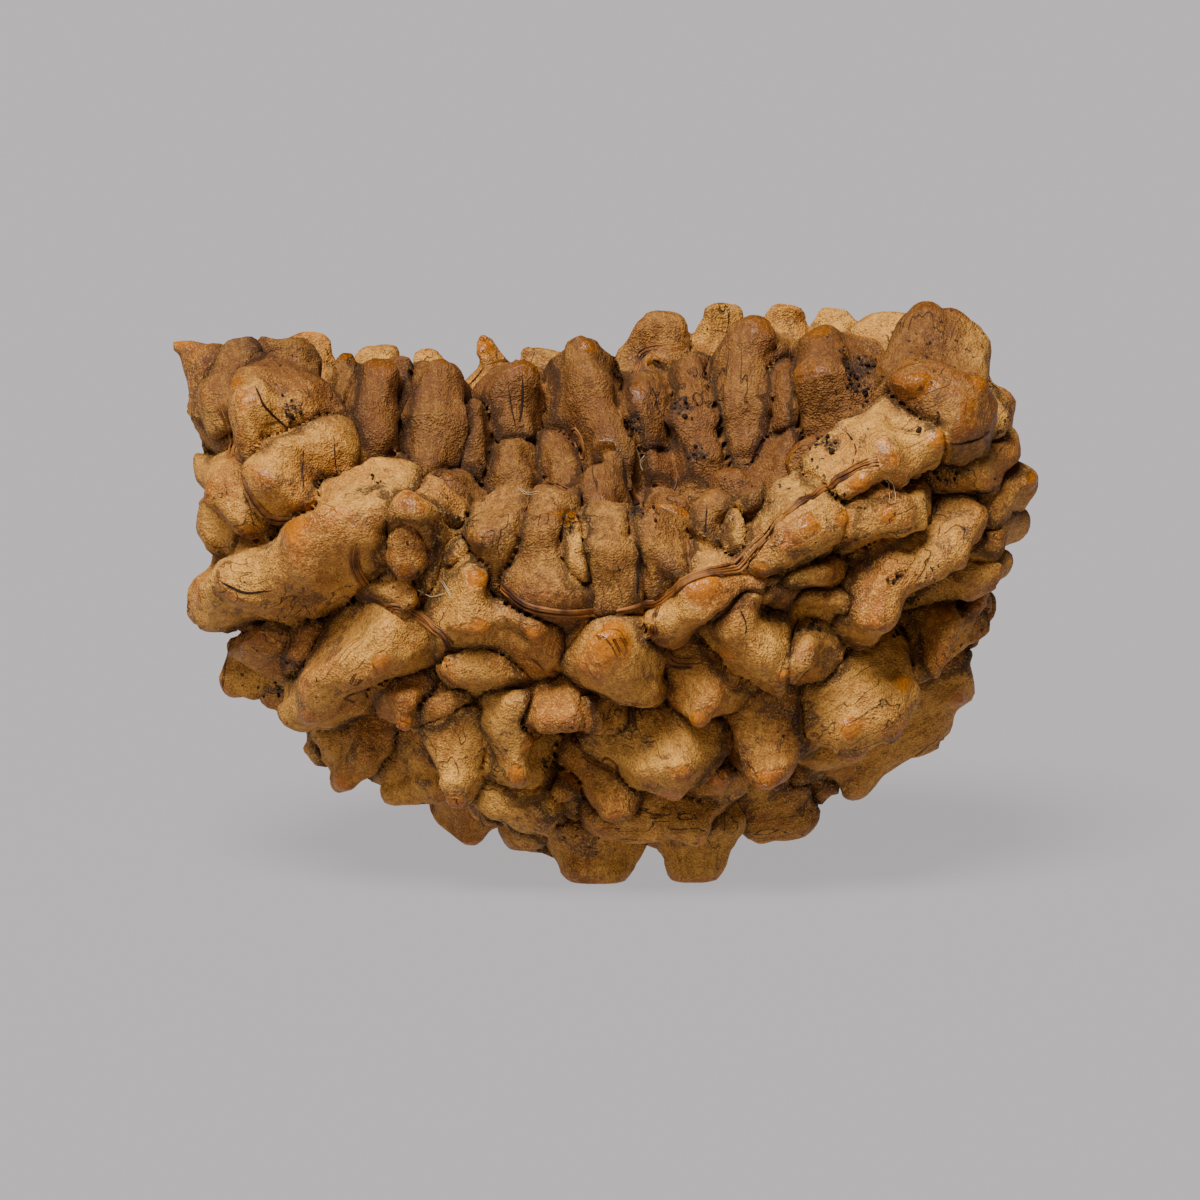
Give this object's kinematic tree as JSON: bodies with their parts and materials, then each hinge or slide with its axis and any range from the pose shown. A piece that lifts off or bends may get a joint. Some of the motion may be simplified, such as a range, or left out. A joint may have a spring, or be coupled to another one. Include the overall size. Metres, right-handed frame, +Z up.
{
  "type": "rudraksha seed",
  "caption": "Half-moon rudraksha seed: one golden-brown woody stone, covered in knobs and ridges, with a scooped upper side, resting on its round side.",
  "frame": {"origin": "on the ground, under the middle of the stone's bounding box", "axes": "+X along the half moon, from its spiked left end to its right end; +Z up; -Y towards the viewer of the picture, on the side where the scoop opens"},
  "size_m": [0.0286, 0.0184, 0.0192],
  "materials": {
    "rudraksha_stone": "fine-grained dry woody stone, polished brown on its crests"
  },
  "bodies": {
    "root": {"rudraksha_stone": "rudraksha_stone"}
  },
  "joints": []
}
